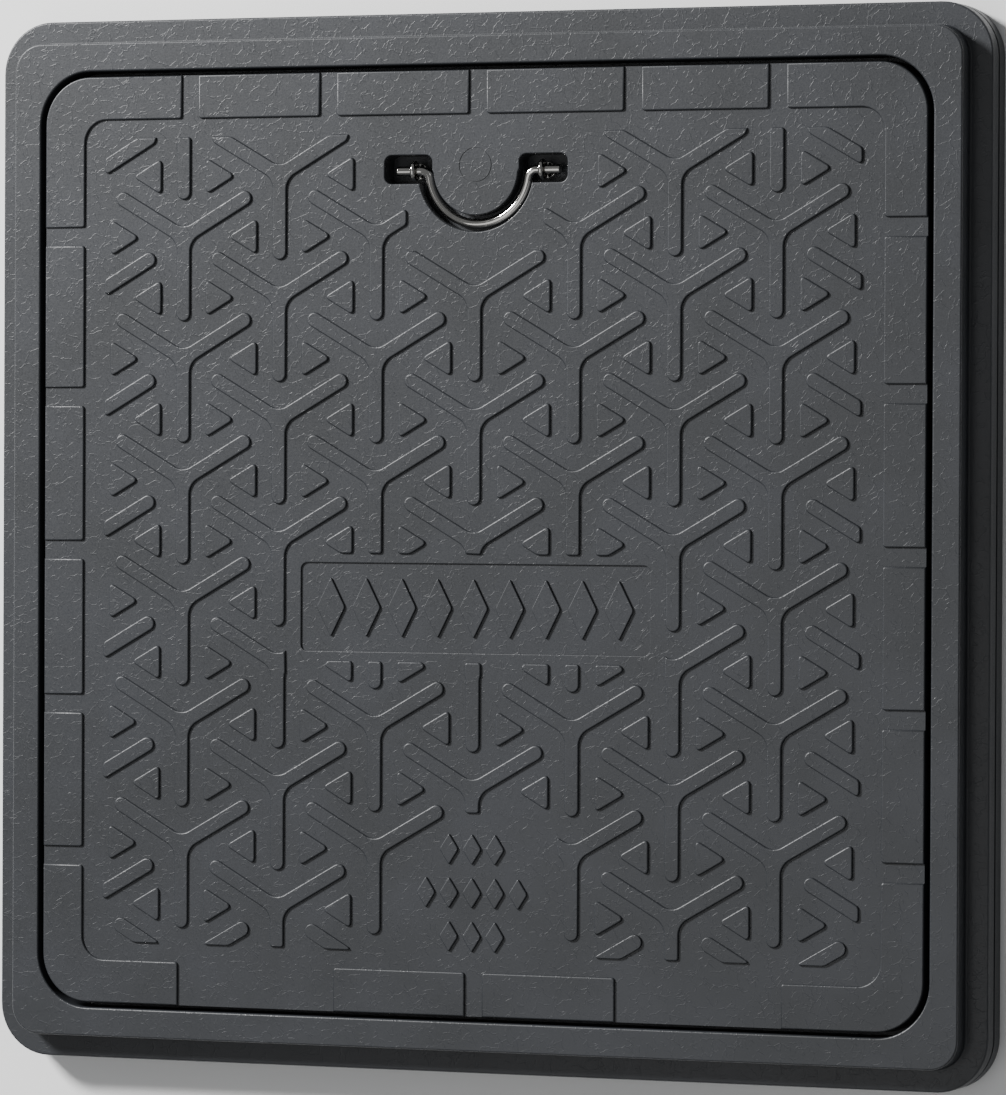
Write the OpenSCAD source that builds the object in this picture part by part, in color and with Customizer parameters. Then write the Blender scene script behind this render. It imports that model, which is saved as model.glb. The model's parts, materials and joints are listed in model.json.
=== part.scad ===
// Square access cover and frame, moulded in glass-filled sheet moulding compound.
// Origin: middle of the frame's underside. +Z up, +Y towards the lifting handle, +X right.

/* [Overall] */
// Clear opening through the frame, inside to inside
clear_opening = 450; // [400:10:700]
// Width of the ledge that the cover rests on
seat_width = 27; // [20:0.5:40]
// Gap between the cover and the frame, on each side
cover_gap = 3; // [1.5:0.25:5]
// Width of the raised rim around the cover
rim_width = 15.5; // [10:0.5:25]
// Width of the lower flange outside the rim
flange_width = 12.5; // [8:0.5:40]
// Height of the whole assembly
total_h = 33; // [33:1:50]

/* [Frame] */
// Height of the outer flange
flange_h = 20.5; // [14:0.5:26]
// Height of the seat ledge above the underside
seat_z = 15; // [12:0.5:18]
// Thickness of the ledge
seat_t = 6; // [4:0.5:8]
// Thickness of the frame's walls
frame_wall = 5; // [3:0.5:7]
// Corner radius of the flange
flange_r = 28; // [10:1:60]
// Corner radius of the rim's outer edge
rim_r = 15.5; // [6:0.5:40]
// Corner radius of the recess that holds the cover
recess_r = 29; // [10:1:40]
// Corner radius of the clear opening
opening_r = 12; // [5:1:30]
// Height and depth of the groove around the flange
flange_groove = 2; // [1:0.25:3]
// Stiffening ribs under each side of the frame
frame_ribs = 9; // [5:1:15]

/* [Gasket] */
// Thickness of the sealing strip on the ledge
gasket_t = 2; // [1:0.5:4]
// Width of the sealing strip
gasket_w = 16; // [8:1:20]
// Gap left between a resting piece and its seat
rest_gap = 0.3; // [0.1:0.05:0.5]

/* [Cover] */
// Thickness of the deck between the ribs
deck_t = 5; // [4:0.5:7]
// Thickness of the cover's edge skirt and of its inner frame
skirt_t = 6; // [4:0.5:8]
// Cells across the rib grid, an odd number
rib_cells = 9; // [5:2:15]
// Thickness of the ribs
rib_t = 4; // [3:0.5:6]
// Height of the ribs' lower edge above the underside
rib_z = 5; // [3:0.5:8]

/* [Tread] */
// Height of the raised pattern above the deck
tread_h = 1.25; // [1:0.25:3]
// Distance between columns of three-armed lugs
column_pitch = 55.85; // [50:0.05:70]
// Distance between rows in one column
row_pitch = 65; // [60:0.5:80]
// Length of each arm from the middle of the lug
arm_l = 45; // [36:0.5:48]
// Width of each arm
arm_w = 8; // [5:0.5:10]
// Fillet between two arms
arm_fillet = 8.5; // [2:0.5:12]
// Side of the small triangular lugs
tri_side = 20; // [12:0.5:22]
// Corner radius of the small triangular lugs
tri_r = 2; // [1:0.25:3]
// Distance from a lug's leg to the near side of its triangles
tri_offset = 12.9; // [10:0.1:15]
// Plain margin between the border blocks and the pattern, at the sides
field_margin_x = 11.8; // [6:0.2:20]
// Plain margin between the border blocks and the pattern, at top and bottom
field_margin_y = 9.8; // [6:0.2:20]

/* [Border blocks] */
// Width of the border blocks, inwards from the cover's edge
border_w = 23.2; // [16:0.2:30]
// Inner corner radius of the corner blocks
border_r = 12.7; // [4:0.1:20]
// Length of a corner block along each side
corner_block = 77.5; // [50:0.5:100]
// Gap between two blocks
block_gap = 9.8; // [6:0.2:14]

/* [Name panel] */
// Width of the sunken panel
panel_w = 197.4; // [120:0.2:200]
// Height of the sunken panel
panel_h = 47; // [30:0.5:60]
// Distance of the panel's middle from the cover's middle, towards the front
panel_y = -34.3; // [-60:0.1:0]
// Corner radius of the panel
panel_r = 3.5; // [1:0.5:8]
// Depth of the panel
panel_depth = 1; // [0.5:0.25:2]
// Plain margin around the panel
panel_clear = 4.9; // [2:0.1:8]
// Height of the plain raised diamonds above the surface they stand on
badge_h = 1.2; // [0.5:0.1:2]

/* [Handle] */
// Distance of the handle's hinge line from the cover's edge
hinge_inset = 52.6; // [45:0.1:80]
// Diameter of the bail's rod
rod_d = 5; // [4:0.25:6]
// Radius of the bail, to the middle of the rod
bail_r = 28.2; // [24:0.1:34]
// Radius of the outward bends at the bail's ends, to the middle of the rod
bend_r = 5; // [4:0.5:7]
// Straight length of rod beyond each bend
bail_end = 13.2; // [10:0.2:18]
// Depth of the hinge line below the deck
hinge_depth = 5; // [4.5:0.25:7]
// Width of the groove that the bail lies in
groove_w = 8.6; // [7:0.1:12]
// Length of each hinge pocket along the hinge line
pocket_l = 27; // [24:0.5:34]
// Width of each hinge pocket
pocket_w = 15; // [13:0.5:20]
// Depth of each hinge pocket
pocket_depth = 13; // [11:0.5:16]
// Corner radius of each hinge pocket
pocket_r = 4; // [1:0.5:6]
// Thickness of the walls and floor around groove and pockets
boss_t = 4; // [3:0.5:6]

/* [Eye bolts] */
// Wire diameter of the eye
eye_wire = 2.5; // [2:0.25:3]
// Clearance between the rod and the eye, all round
eye_clear = 0.5; // [0.2:0.1:1]
// Distance of the eye beyond the end of the bend
eye_offset = 3.4; // [3:0.1:6]
// Diameter of the shank
shank_d = 4; // [3:0.5:5]
// Clearance of the shank in its hole, all round
shank_clear = 0.2; // [0.1:0.05:0.5]
// Clearance of the nut and washer on the shank, all round
thread_clear = 0.05; // [0.02:0.01:0.1]
// Diameter of the shoulder that rests on the pocket floor
shoulder_d = 8.4; // [7:0.2:10]
// Thickness of the shoulder
shoulder_t = 1.2; // [0.8:0.1:2]
// Diameter of the washer
washer_d = 10; // [8:0.5:12]
// Thickness of the washer
washer_t = 1; // [0.8:0.1:1.5]
// Width of the nut across its flats
nut_af = 7; // [5.5:0.5:8]
// Height of the nut
nut_h = 3.2; // [2.4:0.2:4]
// Length of shank that stands out below the nut
shank_proud = 1; // [0:0.25:2]
// Gap kept between the washers and the ribs beside them
washer_clear = 1; // [0.5:0.25:2]

/* [Hidden] */

smc_dark = "#45484b";
smc_light = "#4b4e51";
rubber_black = "#1d1e1f";
steel = "#c9ccce";
zinc = "#a9adb0";

eps = 1;
recess_w = clear_opening + 2 * seat_width;
cover_w = recess_w - 2 * cover_gap;
cover_r = recess_r - cover_gap;
rim_w = recess_w + 2 * rim_width;
flange_w = rim_w + 2 * flange_width;
deck_z = total_h - tread_h;
cover_z = seat_z + gasket_t + rest_gap;

// The inner rib frame drops through the clear opening with this gap all round
rib_clear = 3;
rib_span = clear_opening - 2 * rib_clear;
rib_pitch = (rib_span - rib_t) / rib_cells;

field_x = cover_w / 2 - border_w - field_margin_x;
field_y = cover_w / 2 - border_w - field_margin_y;
column_n = ceil(field_x / column_pitch);
row_n = ceil(field_y / row_pitch) + 1;
arc_steps = 4;

// Five gaps on each side: evenly pitched, then shifted along the side as the mould has them
block_pitch = (cover_w / 2 - corner_block - block_gap / 2) / 2;
gap_shift = [[2.7, -0.4, 1.5, 5, 1.3], [2.3, 4.6, 5, 5.2, 0.4],
             [-0.5, -2, -1.1, 0.4, -2.1], [-3.6, -4.8, -5.2, -6.1, -3.3]];
// The blocks that the front side leaves out, counted from its left end
front_blank = [0, 3];

pivot_y = cover_w / 2 - hinge_inset;
pivot_z = deck_z - hinge_depth;
bend_x = sqrt(pow(bail_r + bend_r, 2) - pow(bend_r, 2));
bend_angle = asin(bend_r / (bail_r + bend_r));
bend_lap = 1;
bend_slim = 0.01;
eye_x = bend_x + eye_offset;
eye_r = rod_d / 2 + eye_clear + eye_wire / 2;
groove_z = pivot_z - rod_d / 2 - rest_gap;
pocket_x = bend_x - bend_r + pocket_l / 2 - 3.2;
pocket_z = deck_z - pocket_depth;
floor_z = pocket_z - boss_t;

// Plain zones that the pattern is cut off at: [x0, y0, x1, y1], the name panel's first
edge = cover_w / 2;
zones = [
    [-panel_w / 2 - panel_clear, panel_y - panel_h / 2 - panel_clear,
     panel_w / 2 + panel_clear, panel_y + panel_h / 2 + panel_clear],
    [-bail_r - 10.3, pivot_y - bail_r - 14.2, bail_r + 10.3, edge],
    [-pocket_x - 26, pivot_y - 14.4, pocket_x + 26, edge],
    [-16, -edge, 48, -field_y + 74],
    [-48, -edge, 48, -field_y + 52]
];
// A lug whose middle is inside one of the other zones, or this near to it, is left out
zone_reach = 4;
// A lug just below the name panel loses the arms that point into its zone, this far beside the lower arm
trim_edge = 0.6;

function arc(c, r, a0, a1, n) = [for (i = [0 : n])
    [c[0] + r * cos(a0 + (a1 - a0) * i / n), c[1] + r * sin(a0 + (a1 - a0) * i / n)]];

// Three arms at 30, 150 and 270 degrees with round tips and filleted crotches
function lug_outline() = [for (d = [30 : 120 : 270])
    each concat(
        arc([(arm_l - arm_w / 2) * cos(d), (arm_l - arm_w / 2) * sin(d)], arm_w / 2, d - 90, d + 90, arc_steps),
        arc([crotch() * cos(d + 60), crotch() * sin(d + 60)], arm_fillet, d + 270, d + 210, arc_steps))];
function crotch() = (arm_w / 2 + arm_fillet) / sin(60);

// Equilateral triangle with round corners, its upright side on the Y axis, pointing to +X
function tri_outline() = [for (k = [0 : 2])
    each arc([tri_side / sqrt(3) / 2 + (tri_side / sqrt(3) - 2 * tri_r) * cos(120 * k),
              (tri_side / sqrt(3) - 2 * tri_r) * sin(120 * k)], tri_r, 120 * k - 60, 120 * k + 60, 4)];

function in_zone(x, y) = len([for (i = [1 : len(zones) - 1]) let (z = zones[i])
    if (x > z[0] - zone_reach && x < z[2] + zone_reach && y > z[1] - zone_reach && y < z[3]) 1]) > 0;

function loses_arm(x, y, s) = y < zones[0][1] && y > zones[0][1] - arm_w
    && abs(x + s * arm_l * cos(30)) < zones[0][2];

module rounded_square(w, r) {
    square([w, w - 2 * r], center = true);
    square([w - 2 * r, w], center = true);
    for (x = [-1, 1], y = [-1, 1])
        translate([x * (w / 2 - r), y * (w / 2 - r)]) circle(r, $fn = 96);
}

module rounded_rect(w, h, r) {
    square([w, h - 2 * r], center = true);
    square([w - 2 * r, h], center = true);
    for (x = [-1, 1], y = [-1, 1])
        translate([x * (w / 2 - r), y * (h / 2 - r)]) circle(r, $fn = 48);
}

// Slab with a rounded square outline between two heights
module slab(w, r, z0, z1) {
    translate([0, 0, z0]) linear_extrude(z1 - z0) rounded_square(w, r);
}

module frame() {
    channel_in = clear_opening + 2 * frame_wall;
    channel_out = flange_w - 2 * frame_wall;
    deep_in = recess_w + 2 * frame_wall;
    color(smc_dark) {
        difference() {
            union() {
                slab(flange_w, flange_r, 0, flange_h);
                slab(rim_w, rim_r, flange_h - eps, total_h);
            }
            slab(clear_opening, opening_r, -eps, total_h);
            slab(recess_w, recess_r, seat_z, total_h + eps);
            // Hollow under the ledge, and a deeper one under the flange
            difference() {
                slab(channel_out, flange_r - frame_wall, -eps, seat_z - seat_t);
                slab(channel_in, opening_r + frame_wall, -2 * eps, seat_z);
                frame_rib_set();
            }
            difference() {
                slab(channel_out, flange_r - frame_wall, seat_z - seat_t - eps, flange_h - frame_wall);
                slab(deep_in, recess_r + frame_wall, -eps, flange_h);
                frame_rib_set();
            }
            // Groove around the flange's outer face
            difference() {
                translate([0, 0, (flange_h - flange_groove) / 2])
                    linear_extrude(flange_groove) square(flange_w + 2 * eps, center = true);
                slab(flange_w - 2 * flange_groove, flange_r - flange_groove, 0, flange_h);
            }
        }
    }
}

// Ribs across the frame's hollow, on all four sides
module frame_rib_set() {
    rib_l = (flange_w - clear_opening) / 2;
    rib_gap = clear_opening / (frame_ribs - 1);
    for (side = [0 : 3], i = [0 : frame_ribs - 1])
        rotate(90 * side)
            translate([clear_opening / 2, -clear_opening / 2 + i * rib_gap - rib_t / 2, -3 * eps])
                cube([rib_l, rib_t, flange_h]);
}

module seat_gasket() {
    outer = recess_w - 4;
    color(rubber_black)
        difference() {
            slab(outer, recess_r - 2, seat_z, seat_z + gasket_t);
            slab(outer - 2 * gasket_w, recess_r - 2 - gasket_w, seat_z - eps, seat_z + gasket_t + eps);
        }
}

// The raised pattern, seen from above
module lug_field() {
    intersection() {
        square([2 * field_x, 2 * field_y], center = true);
        difference() {
            union()
                for (c = [-column_n : column_n], r = [-row_n : row_n]) {
                    x = c * column_pitch;
                    y = (r + (c % 2 == 0 ? 0 : 0.5)) * row_pitch;
                    if (!in_zone(x, y))
                        translate([x, y]) difference() {
                            polygon(lug_outline());
                            for (s = [-1, 1])
                                if (loses_arm(x, y, s))
                                    translate([s * (arm_w / 2 + trim_edge + arm_l / 2), arm_l / 2 - arm_fillet])
                                        square(arm_l, center = true);
                        }
                    for (s = [-1, 1])
                        if (!in_zone(x + s * (tri_offset + tri_side / sqrt(3) / 2), y - row_pitch / 2))
                            translate([x + s * tri_offset, y - row_pitch / 2])
                                mirror([s < 0 ? 1 : 0, 0]) polygon(tri_outline());
                }
            for (z = zones)
                translate([z[0], z[1]]) square([z[2] - z[0], z[3] - z[1]]);
        }
    }
}

// The ring of border blocks, seen from above
module border_blocks() {
    inner = cover_w - 2 * border_w;
    difference() {
        rounded_square(cover_w, cover_r);
        rounded_square(inner, border_r);
        for (side = [0 : 3], k = [0 : 4])
            rotate(-90 * side)
                translate([(k - 2) * block_pitch + gap_shift[side][k] - block_gap / 2, inner / 2 - eps])
                    square([block_gap, border_w + 2 * eps]);
        for (k = front_blank)
            translate([(k - 2) * block_pitch - gap_shift[2][4 - k], -cover_w / 2 - eps])
                square([block_pitch - gap_shift[2][3 - k] + gap_shift[2][4 - k], border_w + 2 * eps]);
    }
}

module diamond(w, h) {
    polygon([[-w / 2, 0], [0, -h / 2], [w / 2, 0], [0, h / 2]]);
}

// Plain diamonds in place of lettering: one row in the panel, three short rows at the front
module badges() {
    pitch = (panel_w - 14) / 9;
    translate([0, panel_y, deck_z - panel_depth - eps])
        linear_extrude(badge_h + eps)
            for (i = [-4 : 4]) translate([i * pitch, 0]) diamond(pitch - 4, panel_h - 15);
    for (row = [0 : 2])
        translate([0, -field_y + 55 - row * 23, deck_z - eps])
            linear_extrude(badge_h + eps)
                for (i = [-(row == 1 ? 2 : 1) : (row == 1 ? 2 : 1)])
                    translate([i * 13, 0]) diamond(11, 17);
}

// U-shaped track around the hinge line, half a turn towards the front
module bail_track(r_in, r_out) {
    translate([0, pivot_y])
        difference() {
            circle(r_out, $fn = 96);
            circle(r_in, $fn = 96);
            translate([-2 * r_out, 0]) square([4 * r_out, 2 * r_out]);
        }
}

module pocket_plan(grow) {
    for (s = [-1, 1])
        translate([s * pocket_x, pivot_y + 0.6])
            rounded_rect(pocket_l + 2 * grow, pocket_w + 2 * grow, pocket_r + grow);
}

// Crossed ribs: deep inside the clear opening, shallow where they run on over the seat
module rib_grid() {
    intersection() {
        crossed_ribs(rib_span, rib_z);
        slab(rib_span, opening_r - rib_clear, rib_z, deck_z);
    }
    crossed_ribs(cover_w - skirt_t, cover_z);
}

module crossed_ribs(length, z0) {
    for (i = [0 : rib_cells], turn = [0, 90])
        rotate(turn)
            translate([i * rib_pitch - rib_span / 2, -length / 2, z0])
                cube([rib_t, length, deck_z - deck_t / 2 - z0]);
}

module cover_panel() {
    color(smc_light) {
        difference() {
            cover_solid();
            translate([0, panel_y, deck_z - panel_depth])
                linear_extrude(total_h) rounded_rect(panel_w, panel_h, panel_r);
            translate([0, 0, groove_z])
                linear_extrude(total_h) bail_track(bail_r - groove_w / 2, bail_r + groove_w / 2);
            translate([0, 0, pocket_z]) linear_extrude(total_h) pocket_plan(0);
            for (s = [-1, 1])
                translate([s * eye_x, pivot_y, floor_z - eps])
                    cylinder(r = shank_d / 2 + shank_clear, h = boss_t + 2 * eps, $fn = 48);
            // Room for washer and nut, where a rib would meet them
            for (s = [-1, 1])
                translate([s * eye_x, pivot_y, rib_z - eps])
                    cylinder(r = washer_d / 2 + washer_clear, h = floor_z - rib_z + eps, $fn = 48);
        }
        badges();
    }
}

// The moulding before its panel, groove, pockets and bolt holes are taken out
module cover_solid() {
    slab(cover_w, cover_r, deck_z - deck_t, deck_z);
    difference() {
        slab(cover_w, cover_r, cover_z, deck_z - eps);
        slab(cover_w - 2 * skirt_t, cover_r - skirt_t, cover_z - eps, deck_z);
    }
    rib_grid();
    translate([0, 0, deck_z - eps])
        linear_extrude(tread_h + eps) {
            border_blocks();
            lug_field();
        }
    translate([0, 0, groove_z - boss_t])
        linear_extrude(deck_z - eps - groove_z + boss_t)
            bail_track(bail_r - groove_w / 2 - boss_t, bail_r + groove_w / 2 + boss_t);
    translate([0, 0, floor_z]) linear_extrude(deck_z - eps - floor_z) pocket_plan(boss_t);
}

module lifting_bail() {
    color(steel)
        translate([0, pivot_y, pivot_z]) {
            rotate(180 + bend_angle)
                rotate_extrude(angle = 180 - 2 * bend_angle, $fn = 96)
                    translate([bail_r, 0]) circle(rod_d / 2, $fn = 32);
            // The bends are a hair slimmer, so that their ends lie inside the rod's other stretches
            for (s = [0, 1])
                mirror([s, 0, 0]) {
                    translate([bend_x, -bend_r, 0])
                        rotate(90)
                            rotate_extrude(angle = 90 - bend_angle + bend_lap, $fn = 96)
                                translate([bend_r, 0]) circle(rod_d / 2 - bend_slim, $fn = 32);
                    translate([bend_x - bend_r * sin(bend_lap), 0, 0])
                        rotate([0, 90, 0]) cylinder(r = rod_d / 2, h = bail_end + bend_r * sin(bend_lap), $fn = 32);
                }
        }
}

module eye_bolt() {
    translate([0, pivot_y, pivot_z]) rotate([0, 90, 0])
        rotate_extrude($fn = 64) translate([eye_r, 0]) circle(eye_wire / 2, $fn = 24);
    translate([0, pivot_y, floor_z - washer_t - nut_h - shank_proud])
        cylinder(r = shank_d / 2, h = pivot_z - eye_r - floor_z + washer_t + nut_h + shank_proud, $fn = 48);
    translate([0, pivot_y, pocket_z]) cylinder(r = shoulder_d / 2, h = shoulder_t, $fn = 48);
}

module eye_washer() {
    translate([0, pivot_y, floor_z - washer_t])
        difference() {
            cylinder(r = washer_d / 2, h = washer_t, $fn = 48);
            translate([0, 0, -eps]) cylinder(r = shank_d / 2 + thread_clear, h = washer_t + 2 * eps, $fn = 48);
        }
}

module eye_nut() {
    translate([0, pivot_y, floor_z - washer_t - nut_h])
        difference() {
            cylinder(r = nut_af / sqrt(3), h = nut_h, $fn = 6);
            translate([0, 0, -eps]) cylinder(r = shank_d / 2 + thread_clear, h = nut_h + 2 * eps, $fn = 48);
        }
}

module eye_bolt_left() { color(steel) translate([-eye_x, 0, 0]) eye_bolt(); }
module eye_bolt_right() { color(steel) translate([eye_x, 0, 0]) eye_bolt(); }
module eye_washer_left() { color(zinc) translate([-eye_x, 0, 0]) eye_washer(); }
module eye_washer_right() { color(zinc) translate([eye_x, 0, 0]) eye_washer(); }
module eye_nut_left() { color(zinc) translate([-eye_x, 0, 0]) eye_nut(); }
module eye_nut_right() { color(zinc) translate([eye_x, 0, 0]) eye_nut(); }

frame();
seat_gasket();
cover_panel();
lifting_bail();
eye_bolt_left();
eye_bolt_right();
eye_washer_left();
eye_washer_right();
eye_nut_left();
eye_nut_right();
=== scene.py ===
import json
import math

import bmesh
import bpy
from mathutils import Matrix, Vector


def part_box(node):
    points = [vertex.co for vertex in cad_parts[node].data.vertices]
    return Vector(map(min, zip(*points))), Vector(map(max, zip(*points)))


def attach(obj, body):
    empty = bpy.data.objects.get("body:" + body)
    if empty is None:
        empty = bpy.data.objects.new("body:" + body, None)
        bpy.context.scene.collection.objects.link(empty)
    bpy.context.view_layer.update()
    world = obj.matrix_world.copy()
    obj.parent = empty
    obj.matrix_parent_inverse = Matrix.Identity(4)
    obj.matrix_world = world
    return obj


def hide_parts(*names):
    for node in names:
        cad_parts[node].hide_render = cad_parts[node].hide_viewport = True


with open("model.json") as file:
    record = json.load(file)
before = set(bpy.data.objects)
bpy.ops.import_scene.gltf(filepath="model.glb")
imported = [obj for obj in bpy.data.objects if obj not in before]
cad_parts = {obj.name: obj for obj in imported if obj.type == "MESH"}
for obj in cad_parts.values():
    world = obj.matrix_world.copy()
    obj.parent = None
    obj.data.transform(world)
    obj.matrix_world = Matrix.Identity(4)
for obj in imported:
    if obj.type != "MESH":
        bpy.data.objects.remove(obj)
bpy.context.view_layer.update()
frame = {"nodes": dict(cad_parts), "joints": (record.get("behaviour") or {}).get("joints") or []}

# ---------------------------------------------------------------- camera
# A long lens looks down on the cover from well above, leaning a little to the
# right, so that the right side of the frame shows.
deg = math.radians
camera_data = bpy.data.cameras.new("camera")
camera_data.lens = 205.7
camera_data.sensor_width = 36
camera_data.clip_end = 30
camera = bpy.data.objects.new("camera", camera_data)
bpy.context.scene.collection.objects.link(camera)
camera.location = (1.2142, 0.0388, 3.0889)
camera.rotation_euler = (deg(-0.607), deg(21.396), deg(0.285))
bpy.context.scene.camera = camera

# ---------------------------------------------------------------- light and floor
# A soft light on the left towards the back gives the shadows, a wide weak one
# overhead fills them, and the floor is plain and pale.


def hex_colour(code):
    """An sRGB hex colour as linear RGBA."""
    parts = [int(code[i:i + 2], 16) / 255 for i in (1, 3, 5)]
    return tuple(c / 12.92 if c <= 0.04045 else ((c + 0.055) / 1.055) ** 2.4 for c in parts) + (1,)


def add_node(tree, kind, inputs=(), **settings):
    """Adds a node, sets it up, and fills its inputs with values or with other nodes' outputs."""
    node = tree.nodes.new(kind)
    for key, value in settings.items():
        setattr(node, key, value)
    for key, value in dict(inputs).items():
        if isinstance(value, bpy.types.NodeSocket):
            tree.links.new(value, node.inputs[key])
        else:
            node.inputs[key].default_value = value
    return node


def new_material(name):
    """An empty node material and its output node."""
    material = bpy.data.materials.new(name)
    material.use_nodes = True
    material.node_tree.nodes.clear()
    return material, material.node_tree, material.node_tree.nodes.new("ShaderNodeOutputMaterial")


def area_light(name, place, target, size, watts, colour="#ffffff"):
    """A square area light at place, facing target."""
    data = bpy.data.lights.new(name, "AREA")
    data.size = size
    data.energy = watts
    data.color = hex_colour(colour)[:3]
    light = bpy.data.objects.new(name, data)
    bpy.context.scene.collection.objects.link(light)
    light.location = place
    light.rotation_euler = (Vector(target) - Vector(place)).to_track_quat("-Z", "Y").to_euler()


area_light("key", (-1.86, 1.38, 1.59), (0, 0, 0), 0.54, 180)
area_light("fill", (-0.3, -0.9, 3.2), (0, 0, 0), 2.5, 20)

world = bpy.data.worlds.new("studio")
world.use_nodes = True
bpy.context.scene.world = world
world_background = world.node_tree.nodes["Background"]
world_background.inputs["Color"].default_value = hex_colour("#f2f4f6")
world_background.inputs["Strength"].default_value = 0.2

bpy.ops.mesh.primitive_plane_add(size=14, location=(0, 0, -0.0004))
floor = bpy.context.active_object
floor.name = "floor"
floor_paint, tree, out = new_material("pale floor")
speck = add_node(tree, "ShaderNodeTexNoise", {"Scale": 3.0, "Detail": 2.0})
tone = add_node(tree, "ShaderNodeMix", {"Factor": speck.outputs["Fac"], "A": hex_colour("#f4f4f3"),
                                        "B": hex_colour("#fafafa")}, data_type="RGBA")
floor_shader = add_node(tree, "ShaderNodeBsdfPrincipled", {"Base Color": tone.outputs["Result"],
                                                           "Roughness": 0.9})
tree.links.new(floor_shader.outputs["BSDF"], out.inputs["Surface"])
floor.data.materials.append(floor_paint)

# ---------------------------------------------------------------- frame
# The frame is one compression moulding in glass-filled polyester. Its flange, rim,
# seat ledge and ribbed hollow underside all come from the same press tool.
mm = 0.001
overlap = 1 * mm
frame_low, frame_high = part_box("frame")
cover_low, cover_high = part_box("cover_panel")
flange_w = frame_high.x - frame_low.x
top_z = frame_high.z
rim_width = 15.5 * mm
flange_width = 12.5 * mm
flange_h = 20.5 * mm
flange_r = 28 * mm
recess_w = flange_w - 2 * (rim_width + flange_width)
recess_r = 29 * mm
seat_z = 15 * mm
seat_t = 6 * mm
opening_w = 450 * mm
opening_r = 12 * mm
frame_wall = 5 * mm
groove_size = 2 * mm
rib_t = 4 * mm
frame_ribs = 9
edge_round = 1.1 * mm


def only(*pieces):
    """Selects these objects alone, the first one active, in object mode."""
    if bpy.context.object and bpy.context.object.mode != "OBJECT":
        bpy.ops.object.mode_set(mode="OBJECT")
    bpy.ops.object.select_all(action="DESELECT")
    for piece in pieces:
        piece.select_set(True)
    bpy.context.view_layer.objects.active = pieces[0]


def apply_place(piece):
    """Moves the object's place, turn and scale into its mesh."""
    only(piece)
    bpy.ops.object.transform_apply(location=True, rotation=True, scale=True)


def pick(piece, what, test):
    """Enters edit mode and selects the faces or edges for which test says yes."""
    only(piece)
    bpy.ops.object.mode_set(mode="EDIT")
    bpy.ops.mesh.select_mode(type=what)
    bpy.ops.mesh.select_all(action="DESELECT")
    mesh = bmesh.from_edit_mesh(piece.data)
    for item in (mesh.faces if what == "FACE" else mesh.edges):
        if test(item):
            item.select_set(True)
    mesh.select_flush_mode()
    bmesh.update_edit_mesh(piece.data)
    return sum(item.select for item in (mesh.faces if what == "FACE" else mesh.edges))


def done():
    bpy.ops.object.mode_set(mode="OBJECT")


def upright(edge):
    a, b = (v.co for v in edge.verts)
    return (a - b).xy.length < 1e-6


def flat_at(z):
    """A test for edges that lie level at height z."""
    return lambda edge: all(abs(v.co.z - z) < 1e-6 for v in edge.verts)


def round_edges(piece, test, size, steps, clamp=False):
    """Bevels the edges that test picks, by less where clamp finds too little room."""
    if pick(piece, "EDGE", test):
        bpy.ops.mesh.bevel(offset=size, segments=steps, profile=0.5, affect="EDGES", clamp_overlap=clamp)
    done()


def block(name, x0, x1, y0, y1, z0, z1):
    """A box between two corners."""
    bpy.ops.mesh.primitive_cube_add(size=1, location=((x0 + x1) / 2, (y0 + y1) / 2, (z0 + z1) / 2),
                                    scale=(x1 - x0, y1 - y0, z1 - z0))
    piece = bpy.context.active_object
    piece.name = name
    apply_place(piece)
    return piece


def rounded_block(name, w, h, r, z0, z1, steps=12, x=0.0, y=0.0):
    """A box round (x, y) whose upright edges are rounded to radius r."""
    piece = block(name, x - w / 2, x + w / 2, y - h / 2, y + h / 2, z0, z1)
    round_edges(piece, upright, r, steps)
    return piece


def combine(piece, tool, operation="DIFFERENCE", crossing=False):
    """Cuts tool out of piece, or adds it, and removes tool.
    Crossing says that the parts of tool cross each other."""
    only(piece)
    modifier = piece.modifiers.new("combine", "BOOLEAN")
    modifier.use_self = crossing
    modifier.operation = operation
    modifier.solver = "EXACT"
    modifier.object = tool
    bpy.ops.object.modifier_apply(modifier=modifier.name)
    bpy.data.objects.remove(tool)


def join(pieces, name):
    """Joins several objects into one."""
    only(*pieces)
    bpy.ops.object.join()
    bpy.context.active_object.name = name
    return bpy.context.active_object


def shade(piece):
    """Smooth shading over rounded edges, with the broad faces kept whole and flat."""
    pick(piece, "FACE", lambda face: True)
    bpy.ops.mesh.dissolve_limited(angle_limit=deg(0.3))
    done()
    bpy.ops.object.shade_smooth_by_angle(angle=deg(40))
    modifier = piece.modifiers.new("shade", "WEIGHTED_NORMAL")
    modifier.keep_sharp = True
    modifier.weight = 100
    bpy.ops.object.modifier_apply(modifier=modifier.name)


frame_piece = rounded_block("surface_frame", flange_w, flange_w, flange_r, 0, flange_h)

# The groove round the flange is a narrow band pressed inwards
band = (flange_h - groove_size) / 2
for z in (band, band + groove_size):
    pick(frame_piece, "FACE", lambda face: True)
    bpy.ops.mesh.bisect(plane_co=(0, 0, z), plane_no=(0, 0, 1))
    done()
pick(frame_piece, "FACE", lambda face: abs(face.normal.z) < 0.1
     and band < face.calc_center_median().z < band + groove_size)
bpy.ops.mesh.extrude_region_shrink_fatten(TRANSFORM_OT_shrink_fatten={"value": -groove_size})
done()

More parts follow.
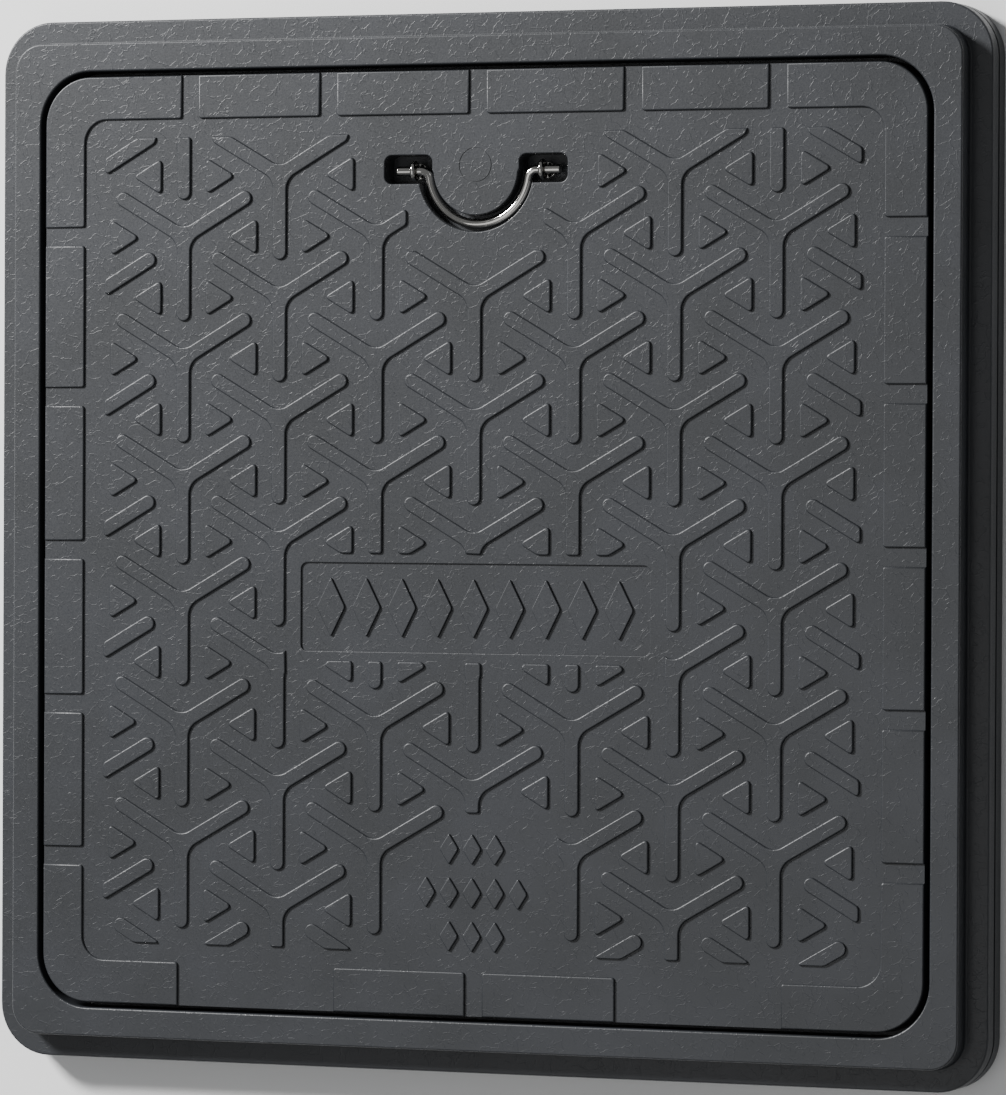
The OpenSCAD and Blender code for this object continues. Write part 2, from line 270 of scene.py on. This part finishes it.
# The rim stands on the flange, and the recess for the cover goes down to the ledge
pick(frame_piece, "FACE", lambda face: face.normal.z > 0.9
     and face.calc_center_median().z > flange_h - overlap)
bpy.ops.mesh.inset(thickness=flange_width)
bpy.ops.mesh.extrude_region_move(TRANSFORM_OT_translate={"value": (0, 0, top_z - flange_h)})
done()
combine(frame_piece, rounded_block("recess", recess_w, recess_w, recess_r, seat_z, top_z + overlap, 14))
combine(frame_piece, rounded_block("opening", opening_w, opening_w, opening_r, -overlap, top_z, 8))


def hollow(outer_w, outer_r, inner_w, inner_r, z0, z1):
    """The ring-shaped space under the frame, between its cross ribs."""
    space = rounded_block("hollow", outer_w, outer_w, outer_r, z0, z1, 10)
    combine(space, rounded_block("core", inner_w, inner_w, inner_r, z0 - overlap, z1 + overlap, 8))
    pitch = opening_w / (frame_ribs - 1)
    for i in range(frame_ribs):
        at = -opening_w / 2 + i * pitch
        near, far = at - rib_t / 2, at + rib_t / 2
        for x0, x1, y0, y1 in ((-1, 1, near, far), (near, far, -1, 1)):
            combine(space, block("rib", x0, x1, y0, y1, z0 - overlap, z1 + overlap))
    return space


combine(frame_piece, hollow(flange_w - 2 * frame_wall, flange_r - frame_wall, opening_w + 2 * frame_wall,
                            opening_r + frame_wall, -overlap, seat_z - seat_t))
combine(frame_piece, hollow(flange_w - 2 * frame_wall, flange_r - frame_wall, recess_w + 2 * frame_wall,
                            recess_r + frame_wall, seat_z - seat_t - overlap, flange_h - frame_wall))
# Full rounding above, and a slight one below, where the ribs leave less room
split_z = seat_z + 0.6 * mm
round_edges(frame_piece, lambda edge: edge.calc_face_angle(0) > deg(35)
            and min(v.co.z for v in edge.verts) > split_z, edge_round, 3)
round_edges(frame_piece, lambda edge: edge.calc_face_angle(0) > deg(50)
            and max(v.co.z for v in edge.verts) < split_z, 0.3 * mm, 2)
shade(frame_piece)


# Moulded polyester: a matte skin over glass strands, which print through as a broken
# net of fine creases, with short hairs between them and a fine grain over all.
def moulded_polyester(name, dark, light):
    material, tree, out = new_material(name)
    place = add_node(tree, "ShaderNodeTexCoord").outputs["Object"]
    wander = add_node(tree, "ShaderNodeTexNoise", {"Vector": place, "Scale": 1 / (5 * mm), "Detail": 2.0})
    bent = add_node(tree, "ShaderNodeVectorMath", {0: wander.outputs["Color"], 1: (6 * mm, 6 * mm, 6 * mm)},
                    operation="MULTIPLY")
    moved = add_node(tree, "ShaderNodeVectorMath", {0: place, 1: bent.outputs[0]}, operation="ADD").outputs[0]
    net = add_node(tree, "ShaderNodeTexVoronoi", {"Vector": moved, "Scale": 1 / (8 * mm)},
                   feature="DISTANCE_TO_EDGE")
    hairs = add_node(tree, "ShaderNodeTexNoise", {"Vector": place, "Scale": 1 / (7 * mm), "Detail": 1.0,
                                                  "Distortion": 0.6})
    level = add_node(tree, "ShaderNodeMath", {0: hairs.outputs["Fac"], 1: 0.5}, operation="SUBTRACT")
    hair = add_node(tree, "ShaderNodeMath", {0: level.outputs[0]}, operation="ABSOLUTE")
    ridges = []
    for distance, width, gate, low in ((net.outputs["Distance"], 0.045, 6 * mm, 0.41),
                                       (hair.outputs[0], 0.024, 4 * mm, 0.48)):
        ridge = add_node(tree, "ShaderNodeMapRange", {"Value": distance, "From Min": 0.0, "From Max": width,
                                                      "To Min": 1.0, "To Max": 0.0},
                         interpolation_type="SMOOTHSTEP")
        runs = add_node(tree, "ShaderNodeTexNoise", {"Vector": place, "Scale": 1 / gate, "Detail": 1.0})
        kept = add_node(tree, "ShaderNodeMapRange", {"Value": runs.outputs["Fac"], "From Min": low,
                                                     "From Max": low + 0.12}, interpolation_type="SMOOTHSTEP")
        ridges.append(add_node(tree, "ShaderNodeMath", {0: ridge.outputs[0], 1: kept.outputs[0]},
                               operation="MULTIPLY").outputs[0])
    height = add_node(tree, "ShaderNodeMath", {0: ridges[0], 1: ridges[1]}, operation="MAXIMUM")
    grain = add_node(tree, "ShaderNodeTexNoise", {"Vector": place, "Scale": 1 / (0.9 * mm), "Detail": 3.0})
    mottle = add_node(tree, "ShaderNodeTexNoise", {"Vector": place, "Scale": 1 / (45 * mm), "Detail": 4.0})
    spread = add_node(tree, "ShaderNodeMapRange", {"Value": mottle.outputs["Fac"], "From Min": 0.35,
                                                   "From Max": 0.65})
    colour = add_node(tree, "ShaderNodeMix", {"Factor": spread.outputs[0], "A": hex_colour(dark),
                                              "B": hex_colour(light)}, data_type="RGBA")
    rough = add_node(tree, "ShaderNodeMapRange", {"Value": grain.outputs["Fac"], "From Min": 0.3,
                                                  "From Max": 0.7, "To Min": 0.37, "To Max": 0.49})
    fine = add_node(tree, "ShaderNodeBump", {"Strength": 0.3, "Distance": 0.1 * mm,
                                             "Height": grain.outputs["Fac"]})
    bump = add_node(tree, "ShaderNodeBump", {"Strength": 0.5, "Distance": 0.1 * mm,
                                             "Height": height.outputs[0], "Normal": fine.outputs["Normal"]})
    shader = add_node(tree, "ShaderNodeBsdfPrincipled", {"Base Color": colour.outputs["Result"],
                                                         "Roughness": rough.outputs[0], "IOR": 1.5,
                                                         "Normal": bump.outputs["Normal"]})
    tree.links.new(shader.outputs["BSDF"], out.inputs["Surface"])
    return material


frame_skin = moulded_polyester("moulded polyester, frame", "#25272a", "#2b2d31")
frame_piece.data.materials.clear()
frame_piece.data.materials.append(frame_skin)
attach(frame_piece, "frame")
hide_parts("frame")

# ---------------------------------------------------------------- cover
# The cover is one moulding too: a deck on a grid of ribs, with border blocks, a tread
# of three-armed lugs and small triangles, a sunken panel and the handle's groove.
cover_w = cover_high.x - cover_low.x
cover_r = 26 * mm
tread_h = 1.25 * mm
deck_z = top_z - tread_h
deck_t = 5 * mm
tread_round = 0.9 * mm
border_w = 23.2 * mm
border_r = 12.7 * mm
block_gap = 9.8 * mm
corner_block = 77.5 * mm
field_x = cover_w / 2 - border_w - 11.8 * mm
field_y = cover_w / 2 - border_w - 9.8 * mm
panel_w = 197.4 * mm
panel_h = 47 * mm
panel_y = -34.3 * mm
panel_r = 3.5 * mm
panel_depth = 1 * mm
panel_clear = 4.9 * mm
pivot = Vector([j for j in frame["joints"] if j["name"] == "bail_hinge"][0]["pos_m"])
rod_d = 5 * mm
bail_r = 28.2 * mm
bend_r = 5 * mm
column_pitch = 55.85 * mm
row_pitch = 65 * mm
arm_l = 45 * mm
arm_w = 8 * mm
arm_fillet = 8.5 * mm
tri_side = 20 * mm
tri_r = 2 * mm
tri_offset = 12.9 * mm


def copy_at(master, x, y, flip=False):
    """A copy of master with its own mesh, moved to (x, y), or first turned half round."""
    piece = master.copy()
    piece.data = master.data.copy()
    piece.data.transform(Matrix.Translation((x, y, 0)) @ Matrix.Rotation(math.pi if flip else 0, 4, "Z"))
    bpy.context.scene.collection.objects.link(piece)
    return piece


# One three-armed lug: a small triangular prism whose three sides are drawn out
sunk = 1 * mm
bpy.ops.mesh.primitive_cylinder_add(vertices=3, radius=arm_w / math.sqrt(3), depth=tread_h + sunk,
                                    location=(0, 0, top_z - (tread_h + sunk) / 2))
lug = bpy.context.active_object
lug.name = "lug"
apply_place(lug)
pick(lug, "FACE", lambda face: abs(face.normal.z) < 0.1)
bpy.ops.mesh.extrude_faces_move(TRANSFORM_OT_shrink_fatten={"value": arm_l - arm_w / math.sqrt(12)})
bpy.ops.mesh.select_all(action="SELECT")
bpy.ops.mesh.dissolve_limited(angle_limit=deg(1))
done()
round_edges(lug, lambda edge: upright(edge) and edge.verts[0].co.xy.length > arm_l / 2, arm_w / 2, 5)
round_edges(lug, lambda edge: upright(edge) and edge.verts[0].co.xy.length < arm_w * 0.6,
            arm_fillet * math.tan(deg(30)), 5)
pick(lug, "EDGE", lambda edge: True)
bpy.ops.mesh.remove_doubles(threshold=0.01 * mm)
done()

# One small triangle, pointing right, its left side upright on the origin
bpy.ops.mesh.primitive_cylinder_add(vertices=3, radius=tri_side / math.sqrt(3), depth=tread_h + sunk,
                                    location=(tri_side / math.sqrt(12), 0, top_z - (tread_h + sunk) / 2),
                                    rotation=(0, 0, deg(-90)))
triangle = bpy.context.active_object
triangle.name = "triangle"
apply_place(triangle)
round_edges(triangle, upright, tri_r / math.tan(deg(30)), 4)

# Plain zones that the pattern is cut off at: name panel, handle, hinge pockets, and two steps at
# the front. A lug whose middle is inside one of the last four, or this near to it, is left out,
# and a lug just below the name panel loses the arms that point into its zone.
half = cover_w / 2
zones = (
    (-panel_w / 2 - panel_clear, panel_y - panel_h / 2 - panel_clear,
     panel_w / 2 + panel_clear, panel_y + panel_h / 2 + panel_clear),
    (-bail_r - 10.3 * mm, pivot.y - bail_r - 14.2 * mm, bail_r + 10.3 * mm, half),
    (-63.8 * mm, pivot.y - 14.4 * mm, 63.8 * mm, half),
    (-16 * mm, -half, 48 * mm, -field_y + 74 * mm),
    (-48 * mm, -half, 48 * mm, -field_y + 52 * mm),
)
zone_reach = 4 * mm
trim_edge = 0.6 * mm
trims = []


def is_free(x, y):
    """Whether the middle of a lug at (x, y) is clear of every plain zone but the name panel's."""
    return not any(x0 - zone_reach < x < x1 + zone_reach and y0 - zone_reach < y < y1
                   for x0, y0, x1, y1 in zones[1:])


def loses_arm(x, y, side):
    """Whether a lug just below the name panel has an arm on this side that points into its zone."""
    return zones[0][1] - arm_w < y < zones[0][1] and abs(x + side * arm_l * math.cos(deg(30))) < zones[0][2]


tread = []
columns = math.ceil(field_x / column_pitch)
rows = math.ceil(field_y / row_pitch) + 1
for column in range(-columns, columns + 1):
    for row in range(-rows, rows + 1):
        x = column * column_pitch
        y = (row + 0.5 * (column % 2)) * row_pitch
        if abs(y) < field_y + arm_l and is_free(x, y):
            tread.append(copy_at(lug, x, y))
            for side in (-1, 1):
                if loses_arm(x, y, side):
                    near, far = x + side * (arm_w / 2 + trim_edge), x + side * arm_l
                    trims.append((min(near, far), y - arm_fillet, max(near, far), y + arm_l))
                    x0, y0, x1, y1 = trims[-1]
                    combine(tread[-1], block("trim", x0, x1, y0, y1, deck_z - 2 * sunk, top_z + overlap))
        for side in (-1, 1):
            centre_x = x + side * (tri_offset + tri_side / math.sqrt(12))
            if max(abs(centre_x) - field_x, abs(y - row_pitch / 2) - field_y) < 0 and is_free(
                    centre_x, y - row_pitch / 2):
                tread.append(copy_at(triangle, x + side * tri_offset, y - row_pitch / 2, side < 0))
tread = join(tread, "tread")
for master in (lug, triangle):
    bpy.data.objects.remove(master)
field = block("field", -field_x, field_x, -field_y, field_y, deck_z - 2 * sunk, top_z + overlap)
combine(tread, field, "INTERSECT")
for x0, y0, x1, y1 in zones:
    combine(tread, block("zone", x0, x1, y0, y1, deck_z - 2 * sunk, top_z + overlap))


def on_cut(edge):
    """Whether an upright edge stands where the pattern was cut off."""
    x, y = edge.verts[0].co.xy
    lines = [(field_x, abs(x)), (field_y, abs(y))]
    for x0, y0, x1, y1 in (*zones, *trims):
        if y0 - overlap < y < y1 + overlap:
            lines += [(x0, x), (x1, x)]
        if x0 - overlap < x < x1 + overlap:
            lines += [(y0, y), (y1, y)]
    return upright(edge) and any(abs(a - b) < 1e-5 for a, b in lines)


# The cut corners are rounded, the keen ones more, and slivers that the cuts leave are taken away
sliver = 45 * mm * mm
pick(tread, "EDGE", lambda edge: True)
bpy.ops.mesh.remove_doubles(threshold=0.6 * mm)
done()
for turn, size in ((100, 3.4 * mm), (30, 1.6 * mm), (30, 0.8 * mm)):
    round_edges(tread, lambda edge: on_cut(edge) and edge.calc_face_angle(0) > deg(turn)
                and all(other.calc_length() > 2.05 * size for v in edge.verts for other in v.link_edges
                        if other != edge and not upright(other)), size, 4)
only(tread)
bpy.ops.mesh.separate(type="LOOSE")
islands = list(bpy.context.selected_objects)
for island in [i for i in islands if i.dimensions.x * i.dimensions.y < sliver]:
    islands.remove(island)
    bpy.data.objects.remove(island)
for island in islands:
    round_edges(island, flat_at(top_z), tread_round, 3, clamp=True)
tread = join(islands, "tread")

# Plain diamonds where the lettering would be: a long row in the panel, three short rows in front
bpy.ops.mesh.primitive_cylinder_add(vertices=4, radius=0.5, depth=1)
stud = bpy.context.active_object
stud_h = 1.2 * mm
stud_gap = 4 * mm
panel_studs = 9
panel_pitch = (panel_w - 14 * mm) / panel_studs
front_pitch_x = 13 * mm
front_pitch_y = 23 * mm
places = []
for i in range(panel_studs):
    places.append(((i - (panel_studs - 1) / 2) * panel_pitch, panel_y, panel_pitch - stud_gap,
                   panel_h - 15 * mm, deck_z - panel_depth))
for row, reach in enumerate((1, 2, 1)):
    for i in range(-reach, reach + 1):
        places.append((i * front_pitch_x, -field_y + 55 * mm - row * front_pitch_y, 11 * mm, 17 * mm, deck_z))
studs = []
for x, y, w, h, z in places:
    piece = copy_at(stud, 0, 0)
    piece.data.transform(Matrix.Translation((x, y, z + (stud_h - sunk) / 2))
                         @ Matrix.Diagonal((w, h, stud_h + sunk, 1)))
    round_edges(piece, upright, 1.3 * mm, 4)
    round_edges(piece, flat_at(z + stud_h), 0.8 * mm, 3, clamp=True)
    studs.append(piece)
bpy.data.objects.remove(stud)
studs = join(studs, "studs")

# The deck's border stands as high as the tread, and is cut into blocks by notches. Each notch sits
# a little off an even spacing: shifts in mm for the back, right, front and left. Two stretches at
# the front have no block.
deck = rounded_block("cover_panel_moulded", cover_w, cover_w, cover_r, deck_z - deck_t, top_z, 14)
combine(deck, rounded_block("middle", cover_w - 2 * border_w, cover_w - 2 * border_w, border_r,
                            deck_z, top_z + overlap, 10))
pitch = (half - corner_block - block_gap / 2) / 2
shifts = ((2.7, -0.4, 1.5, 5, 1.3),
          (2.3, 4.6, 5, 5.2, 0.4),
          (-0.5, -2, -1.1, 0.4, -2.1),
          (-3.6, -4.8, -5.2, -6.1, -3.3))
for side in range(4):
    for k in range(5):
        middle = (k - 2) * pitch + shifts[side][k] * mm
        notch = block("notch", middle - block_gap / 2, middle + block_gap / 2,
                      half - border_w - overlap, half + overlap, deck_z, top_z + overlap)
        notch.data.transform(Matrix.Rotation(-side * math.pi / 2, 4, "Z"))
        combine(deck, notch)
front = [-((k - 2) * pitch + shifts[2][k] * mm) for k in (4, 3, 2, 1, 0)]
for left, right in ((front[0], front[1]), (front[3], front[4])):
    combine(deck, block("blank", left, right, -half - overlap, -half + border_w + overlap,
                        deck_z, top_z + overlap))


def at_notch(edge):
    """Whether an upright edge is a corner between a notch and a block's inner side."""
    reach = sorted(abs(c) for c in edge.verts[0].co.xy)
    return (upright(edge) and abs(reach[1] - (half - border_w)) < 1e-5
            and reach[0] < half - border_w - border_r - overlap)


round_edges(deck, at_notch, 1.6 * mm, 4)
round_edges(deck, flat_at(top_z), tread_round, 3)
combine(deck, rounded_block("panel", panel_w, panel_h, panel_r, deck_z - panel_depth, top_z, 6, 0, panel_y))
round_edges(deck, lambda edge: flat_at(deck_z)(edge) and abs(edge.verts[0].co.x) < panel_w / 2 + overlap
            and abs(edge.verts[0].co.y - panel_y) < panel_h / 2 + overlap, 0.5 * mm, 2)

# Handle groove and hinge pockets, with bosses beneath them and a hole for each eye bolt
groove_w = 8.6 * mm
boss_t = 4 * mm
pocket_l = 27 * mm
pocket_w = 15 * mm
pocket_r = 4 * mm
pocket_z = deck_z - 13 * mm
bend_x = math.sqrt((bail_r + bend_r) ** 2 - bend_r ** 2)
eye_x = bend_x + 3.4 * mm
pocket_x = bend_x - bend_r + pocket_l / 2 - 3.2 * mm
groove_z = pivot.z - rod_d / 2 - 0.3 * mm
floor_z = pocket_z - boss_t
shank_d = 4 * mm
bolt_hole_r = shank_d / 2 + 0.2 * mm


def drum(name, x, y, r, z0, z1, steps=32):
    """An upright cylinder."""
    bpy.ops.mesh.primitive_cylinder_add(vertices=steps, radius=r, depth=z1 - z0,
                                        location=(x, y, (z0 + z1) / 2))
    piece = bpy.context.active_object
    piece.name = name
    apply_place(piece)
    return piece


def half_track(r_in, r_out, z0, z1):
    """Half a ring round the hinge line, on the front side."""
    track = drum("track", pivot.x, pivot.y, r_out, z0, z1, 96)
    combine(track, drum("inside", pivot.x, pivot.y, r_in, z0 - overlap, z1 + overlap, 96))
    combine(track, block("back", -1, 1, pivot.y, pivot.y + 1, z0 - overlap, z1 + overlap))
    return track


def pocket(side, grow, z0, z1):
    """The space of one hinge pocket, grown by this much all round."""
    return rounded_block("pocket", pocket_l + 2 * grow, pocket_w + 2 * grow, pocket_r + grow, z0, z1, 6,
                         side * pocket_x, pivot.y + 0.6 * mm)


combine(deck, half_track(bail_r - groove_w / 2 - boss_t, bail_r + groove_w / 2 + boss_t,
                         groove_z - boss_t, deck_z - overlap), "UNION")
for side in (-1, 1):
    combine(deck, pocket(side, boss_t, floor_z, deck_z - overlap), "UNION")
combine(deck, half_track(bail_r - groove_w / 2, bail_r + groove_w / 2, groove_z, top_z))
for side in (-1, 1):
    combine(deck, pocket(side, 0, pocket_z, top_z))
    combine(deck, drum("bolt_hole", side * eye_x, pivot.y, bolt_hole_r, floor_z - overlap, top_z))
# The groove's inner wall meets each pocket's in a step too small to round, so its ends are merged
step = 0.8 * mm
pick(deck, "EDGE", lambda edge: edge.calc_length() < step and abs(edge.verts[0].co.x) < bail_r
     and abs(edge.verts[0].co.y - pivot.y) < overlap)
bpy.ops.mesh.remove_doubles(threshold=step)
done()
round_edges(deck, lambda edge: flat_at(deck_z)(edge) and edge.calc_face_angle(0) > 0.5
            and abs(edge.verts[0].co.x) < pocket_x + pocket_l and edge.verts[0].co.y > 0.1
            and edge.verts[0].co.y < half - border_w - 5 * mm, 0.7 * mm, 3)

# The faint ring that the mould's ejector leaves inside the handle
mark_y = pivot.y + 2.6 * mm
mark = drum("mark", 0, mark_y, 9.3 * mm, deck_z - 0.25 * mm, top_z, 48)
combine(mark, drum("inside", 0, mark_y, 8.7 * mm, 0, top_z + overlap, 48))
combine(deck, mark)

# Underside: a skirt round the edge, and crossed ribs that reach deeper inside the opening
cover_z = cover_low.z
skirt_z = seat_z + 2.3 * mm
rib_cells = 9
rib_span = opening_w - 6 * mm
rib_pitch = (rib_span - rib_t) / rib_cells
skirt_t = 6 * mm


def crossed_ribs(length, z0):
    """A grid of ribs of this length, from z0 up into the deck."""
    ribs = []
    end = length / 2
    for i in range(rib_cells + 1):
        at = i * rib_pitch - rib_span / 2
        for x0, x1, y0, y1 in ((at, at + rib_t, -end, end), (-end, end, at, at + rib_t)):
            ribs.append(block("rib", x0, x1, y0, y1, z0, deck_z - deck_t / 2))
    return ribs


deep = join(crossed_ribs(rib_span, cover_z), "deep")
shallow = join(crossed_ribs(cover_w - skirt_t, skirt_z), "shallow")
limit = rounded_block("limit", rib_span, rib_span, opening_r - 3 * mm, cover_z, deck_z, 8)
combine(deep, limit, "INTERSECT", True)
skirt = rounded_block("skirt", cover_w, cover_w, cover_r, skirt_z, deck_z - overlap, 14)
combine(skirt, rounded_block("inside", cover_w - 2 * skirt_t, cover_w - 2 * skirt_t, cover_r - skirt_t,
                             skirt_z - overlap, deck_z, 10))
combine(skirt, join([deep, shallow], "ribs"), "UNION", True)
for side in (-1, 1):
    combine(skirt, pocket(side, 0, pocket_z, top_z))
    combine(skirt, drum("bolt_hole", side * eye_x, pivot.y, bolt_hole_r, 0, top_z))
combine(skirt, half_track(bail_r - groove_w / 2, bail_r + groove_w / 2, groove_z, top_z))
combine(deck, skirt, "UNION")
deck = join([deck, tread, studs], "cover_panel_moulded")
shade(deck)

cover_skin = moulded_polyester("moulded polyester, cover", "#25272a", "#2b2d31")
deck.data.materials.clear()
deck.data.materials.append(cover_skin)
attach(deck, "cover")
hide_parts("cover_panel")


# ---------------------------------------------------------------- lifting bail
# The bail is one stainless rod, cold bent into a U with out-turned ends and then
# polished. It lies in its groove and swings up on its ends.
bend_angle = math.asin(bend_r / (bail_r + bend_r))
bail_end = 13.2 * mm
bpy.ops.mesh.primitive_circle_add(vertices=24, radius=rod_d / 2, fill_type="NOTHING",
                                  rotation=(0, deg(90), 0),
                                  location=(pivot.x - bend_x - bail_end, pivot.y, pivot.z))
bail = bpy.context.active_object
bail.name = "bail_rod"
apply_place(bail)
pick(bail, "EDGE", lambda edge: True)
bpy.ops.mesh.extrude_region_move(TRANSFORM_OT_translate={"value": (bail_end, 0, 0)})
for centre, angle, steps in (((-bend_x, -bend_r), deg(90) - bend_angle, 12),
                             ((0, 0), 2 * bend_angle - deg(180), 64),
                             ((bend_x, -bend_r), deg(90) - bend_angle, 12)):
    bpy.ops.mesh.spin(steps=steps, angle=angle, center=(pivot.x + centre[0], pivot.y + centre[1], pivot.z),
                      axis=(0, 0, 1))
bpy.ops.mesh.extrude_region_move(TRANSFORM_OT_translate={"value": (bail_end, 0, 0)})
bpy.ops.mesh.select_all(action="SELECT")
bpy.ops.mesh.remove_doubles(threshold=1e-6)
bpy.ops.mesh.fill_holes(sides=24)
bpy.ops.mesh.normals_make_consistent(inside=False)
done()
end_x = bend_x + bail_end
round_edges(bail, lambda edge: all(abs(abs(v.co.x) - end_x) < 1e-6 for v in edge.verts), 0.5 * mm, 3)
shade(bail)


# Polished stainless steel: a bright clear reflection, blurred a little along the
# fine lines that drawing and polishing leave.
def stainless(name, roughness, lines):
    material, tree, out = new_material(name)
    place = add_node(tree, "ShaderNodeTexCoord").outputs["Object"]
    scuffs = add_node(tree, "ShaderNodeTexNoise", {"Vector": place, "Scale": 1 / (3 * mm), "Detail": 6.0})
    rough = add_node(tree, "ShaderNodeMapRange", {"Value": scuffs.outputs["Fac"], "From Min": 0.3,
                                                  "From Max": 0.75, "To Min": roughness,
                                                  "To Max": roughness * 2})
    drawn = add_node(tree, "ShaderNodeTexNoise", {"Vector": place, "Scale": 1 / (0.35 * mm), "Detail": 2.0})
    bump = add_node(tree, "ShaderNodeBump", {"Strength": lines, "Distance": 0.03 * mm,
                                             "Height": drawn.outputs["Fac"]})
    shader = add_node(tree, "ShaderNodeBsdfPrincipled", {"Base Color": hex_colour("#c9c7c3"), "Metallic": 1.0,
                                                         "Roughness": rough.outputs[0],
                                                         "Normal": bump.outputs["Normal"]})
    tree.links.new(shader.outputs["BSDF"], out.inputs["Surface"])
    return material


polished = stainless("polished stainless steel", 0.06, 0.08)
bail.data.materials.append(polished)
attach(bail, "bail")
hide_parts("lifting_bail")

# ---------------------------------------------------------------- eye bolts
# Each end of the bail turns in an eye bent from stainless wire, whose shank goes
# down through the pocket floor and is clamped there by a shoulder, washer and nut.
eye_wire = 2.5 * mm
eye_r = rod_d / 2 + 0.5 * mm + eye_wire / 2
shoulder_r = 4.2 * mm
shoulder_z = pocket_z + 1.2 * mm
for side, word in ((-1, "left"), (1, "right")):
    bpy.ops.mesh.primitive_torus_add(major_radius=eye_r, minor_radius=eye_wire / 2, major_segments=40,
                                     minor_segments=16, rotation=(0, deg(90), 0),
                                     location=(side * eye_x, pivot.y, pivot.z))
    eye = bpy.context.active_object
    eye.name = "eye_" + word
    apply_place(eye)
    low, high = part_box("eye_bolt_" + word)
    shank = drum("shank", side * eye_x, pivot.y, shank_d / 2, low.z, pivot.z - eye_r, 24)
    round_edges(shank, flat_at(low.z), 0.4 * mm, 2)
    shoulder = drum("shoulder", side * eye_x, pivot.y, shoulder_r, pocket_z, shoulder_z, 32)
    round_edges(shoulder, flat_at(shoulder_z), 0.3 * mm, 2)
    combine(shank, shoulder, "UNION")
    combine(eye, shank, "UNION")
    shade(eye)
    eye.data.materials.append(polished)
    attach(eye, "cover")
    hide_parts("eye_bolt_" + word)

# ---------------------------------------------------------------- washers and nuts
# Stock stainless fasteners, turned and left as they came, under the pocket floors.
plain = stainless("plain stainless steel", 0.32, 0.3)
for node in ("eye_washer_left", "eye_washer_right", "eye_nut_left", "eye_nut_right"):
    frame["nodes"][node].data.materials.clear()
    frame["nodes"][node].data.materials.append(plain)

# ---------------------------------------------------------------- sealing strip
# A strip of black EPDM rubber glued to the ledge, dull and slightly dusty.
rubber, tree, out = new_material("EPDM rubber")
place = add_node(tree, "ShaderNodeTexCoord").outputs["Object"]
dust = add_node(tree, "ShaderNodeTexNoise", {"Vector": place, "Scale": 1 / (6 * mm), "Detail": 5.0})
tone = add_node(tree, "ShaderNodeMix", {"Factor": dust.outputs["Fac"], "A": hex_colour("#17181a"),
                                        "B": hex_colour("#242527")}, data_type="RGBA")
bump = add_node(tree, "ShaderNodeBump", {"Strength": 0.2, "Distance": 0.1 * mm,
                                         "Height": dust.outputs["Fac"]})
shader = add_node(tree, "ShaderNodeBsdfPrincipled", {"Base Color": tone.outputs["Result"], "Roughness": 0.8,
                                                     "Normal": bump.outputs["Normal"]})
tree.links.new(shader.outputs["BSDF"], out.inputs["Surface"])
frame["nodes"]["seat_gasket"].data.materials.clear()
frame["nodes"]["seat_gasket"].data.materials.append(rubber)
